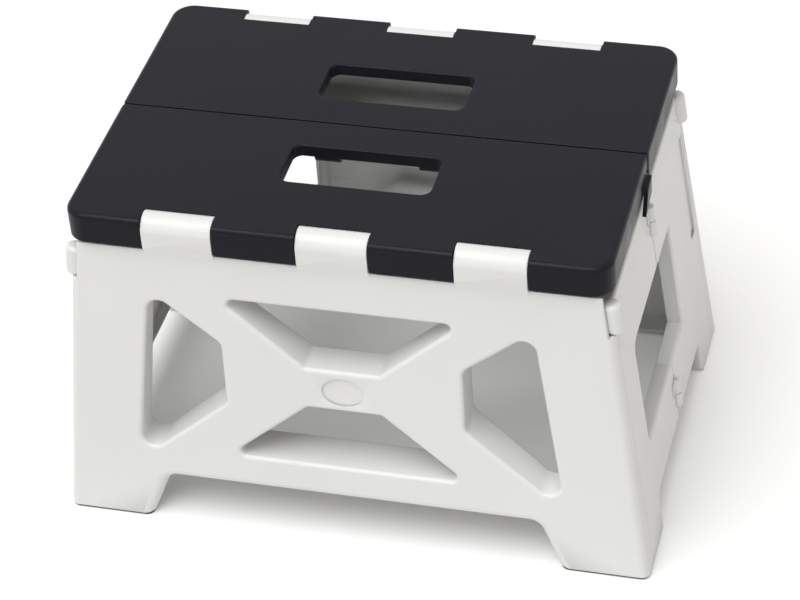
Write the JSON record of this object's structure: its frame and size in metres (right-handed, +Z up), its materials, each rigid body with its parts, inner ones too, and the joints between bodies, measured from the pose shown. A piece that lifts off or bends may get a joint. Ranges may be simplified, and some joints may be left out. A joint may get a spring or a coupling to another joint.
{
  "type": "folding step stool",
  "caption": "Low folding step stool: a split rectangular tread with hand holes on hinged, splayed frames with cross-braced sides; it folds flat at the middle.",
  "frame": {"origin": "on the floor under the middle of the tread, with the stool opened out", "axes": "+X along the long side, -Y out of the front panel, +Z up"},
  "size_m": [0.3396, 0.2268, 0.209],
  "materials": {
    "tread": "satin",
    "frame": "satin",
    "hinge_steel": "satin",
    "foot_rubber": "matte"
  },
  "bodies": {
    "front_panel": {"front_panel": "frame", "front_hinge_rod": "hinge_steel", "front_right_corner_pins": "hinge_steel", "front_left_corner_pins": "hinge_steel", "front_right_foot_pad": "foot_rubber", "front_left_foot_pad": "foot_rubber"},
    "top_front": {"top_front": "tread", "centre_hinge_rod": "hinge_steel"},
    "top_rear": {"top_rear": "tread"},
    "rear_panel": {"rear_panel": "frame", "rear_hinge_rod": "hinge_steel", "rear_right_corner_pins": "hinge_steel", "rear_left_corner_pins": "hinge_steel", "rear_right_foot_pad": "foot_rubber", "rear_left_foot_pad": "foot_rubber"},
    "right_front_leaf": {"right_front_leaf": "frame", "right_front_leaf_pad": "foot_rubber", "right_leaf_pins": "hinge_steel"},
    "left_front_leaf": {"left_front_leaf": "frame", "left_front_leaf_pad": "foot_rubber"},
    "right_rear_leaf": {"right_rear_leaf": "frame", "right_rear_leaf_pad": "foot_rubber"},
    "left_rear_leaf": {"left_rear_leaf": "frame", "left_rear_leaf_pad": "foot_rubber", "left_leaf_pins": "hinge_steel"}
  },
  "joints": [
    {"name": "tread_fold", "type": "hinge", "parent": "front_panel", "child": "top_front", "pos_m": [0, -0.096, 0.2005], "axis": [1, 0, 0], "range_deg": [0, 83]},
    {"name": "centre_fold", "type": "hinge", "parent": "top_front", "child": "top_rear", "pos_m": [0, 0, 0.1895], "axis": [-1, 0, 0], "range_deg": [0, 166]},
    {"name": "rear_fold", "type": "hinge", "parent": "top_rear", "child": "rear_panel", "pos_m": [0, 0.096, 0.2005], "axis": [1, 0, 0], "range_deg": [0, 83]},
    {"name": "right_front_leaf_fold", "type": "hinge", "parent": "front_panel", "child": "right_front_leaf", "pos_m": [0.14798, -0.096, 0.09811], "axis": [-0.1159, 0, 0.9933], "range_deg": [0, 83]},
    {"name": "left_front_leaf_fold", "type": "hinge", "parent": "front_panel", "child": "left_front_leaf", "pos_m": [-0.14798, -0.096, 0.09811], "axis": [-0.1159, 0, -0.9933], "range_deg": [0, 83]},
    {"name": "right_rear_leaf_fold", "type": "hinge", "parent": "rear_panel", "child": "right_rear_leaf", "pos_m": [0.14798, 0.096, 0.09811], "axis": [0.1159, 0, -0.9933], "range_deg": [0, 83]},
    {"name": "left_rear_leaf_fold", "type": "hinge", "parent": "rear_panel", "child": "left_rear_leaf", "pos_m": [-0.14798, 0.096, 0.09811], "axis": [0.1159, 0, 0.9933], "range_deg": [0, 83]}
  ],
  "couplings": [
    {"joint": "centre_fold", "follows": "tread_fold", "ratio": 2},
    {"joint": "rear_fold", "follows": "tread_fold", "ratio": 1},
    {"joint": "right_front_leaf_fold", "follows": "tread_fold", "ratio": 1},
    {"joint": "left_front_leaf_fold", "follows": "tread_fold", "ratio": 1},
    {"joint": "right_rear_leaf_fold", "follows": "tread_fold", "ratio": 1},
    {"joint": "left_rear_leaf_fold", "follows": "tread_fold", "ratio": 1}
  ]
}
